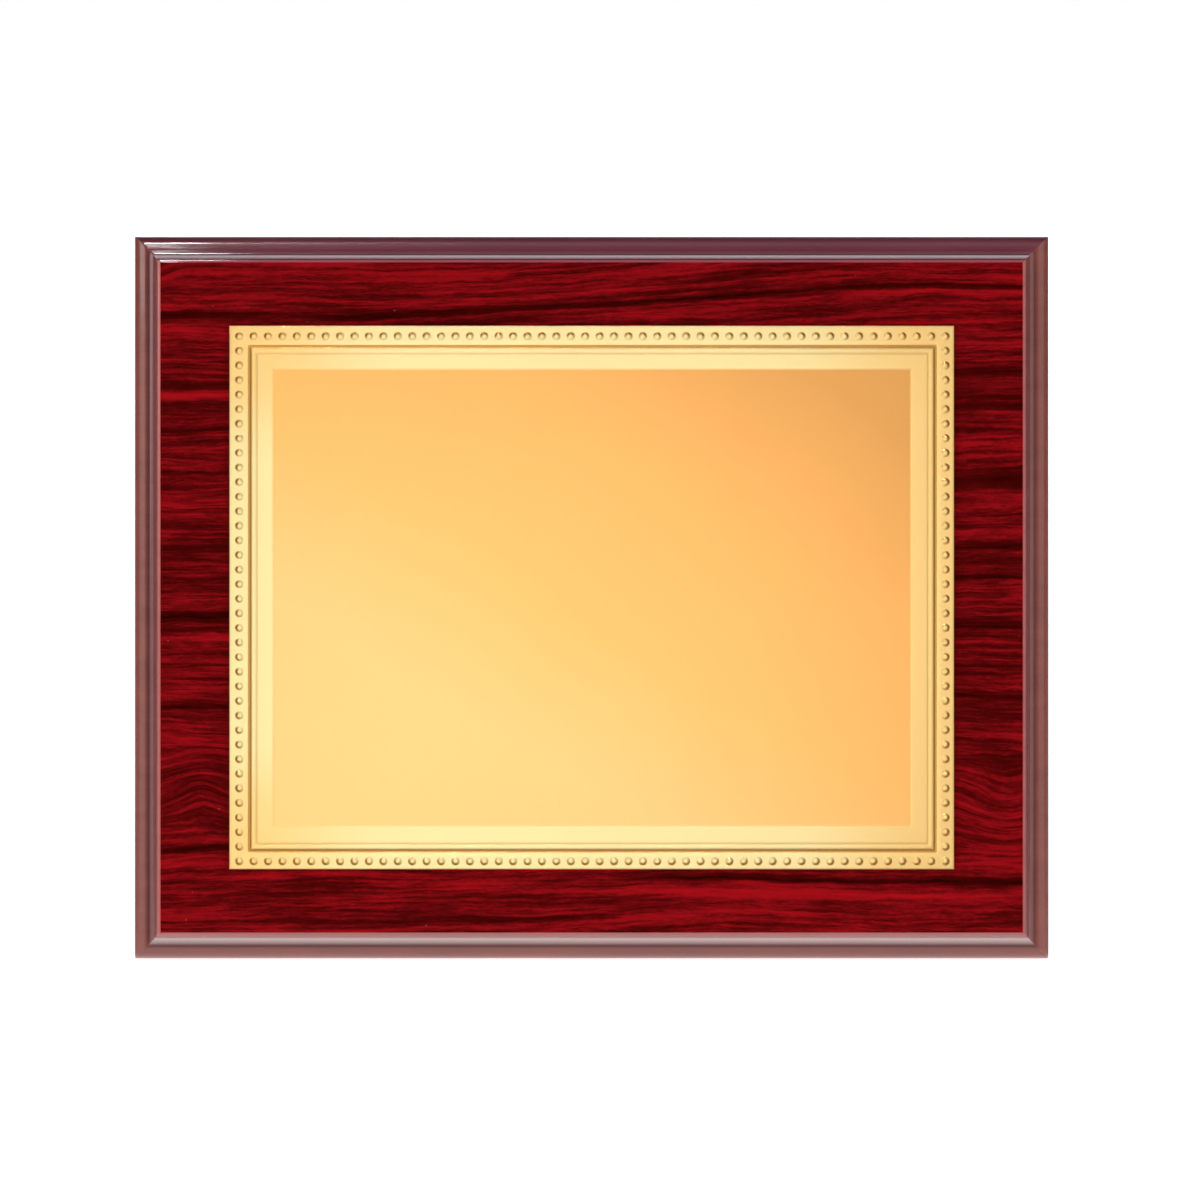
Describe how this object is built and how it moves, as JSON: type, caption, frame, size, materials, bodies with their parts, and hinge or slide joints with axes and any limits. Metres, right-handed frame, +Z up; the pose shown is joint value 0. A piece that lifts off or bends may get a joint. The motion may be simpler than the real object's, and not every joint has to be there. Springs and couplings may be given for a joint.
{
  "type": "wooden plaque",
  "caption": "Glossy rosewood-look award plaque with a moulded edge and a blank beaded gold plate, leaning back on a folding easel leg.",
  "frame": {"origin": "on the table, under the middle of the standing plaque's box, with the leg open", "axes": "+X to the right as seen from the front, +Y to the back, +Z up; the board leans 15 degrees towards +Y"},
  "size_m": [0.253, 0.0819, 0.1951],
  "materials": {
    "lacquered_board": "mahogany paint under high-gloss clear lacquer on MDF",
    "rosewood_print": "printed red rosewood grain under high-gloss clear lacquer",
    "gold": "satin gold with a polished centre",
    "film": "double-sided adhesive film",
    "flock": "black flocked sheet",
    "zinc": "bright zinc plated steel",
    "steel": "drawn steel wire",
    "brass": "brass plated",
    "rubber": "matte black rubber",
    "leg_board": "hardboard painted satin black"
  },
  "bodies": {
    "plaque": {"board_core": "lacquered_board", "grain_face": "rosewood_print", "plate_adhesive": "film", "gold_plate": "gold", "back_cover": "flock", "keyhole_hanger_left": "zinc", "keyhole_hanger_right": "zinc", "hanger_screws_left": "brass", "hanger_screws_right": "brass", "bumper_top_left": "rubber", "bumper_top_right": "rubber", "bumper_bottom_left": "rubber", "bumper_bottom_right": "rubber", "hinge_board_leaf": "brass", "hinge_board_screws": "brass", "hinge_pin": "steel"},
    "leg": {"easel_leg": "leg_board", "hinge_leg_leaf": "brass", "leg_rivets": "brass", "leg_foot_pad": "rubber"}
  },
  "joints": [
    {"name": "easel_leg_fold", "type": "hinge", "parent": "plaque", "child": "leg", "pos_m": [0, 0.01054, 0.13435], "axis": [-1, 0, 0], "range_deg": [0, 27]}
  ]
}
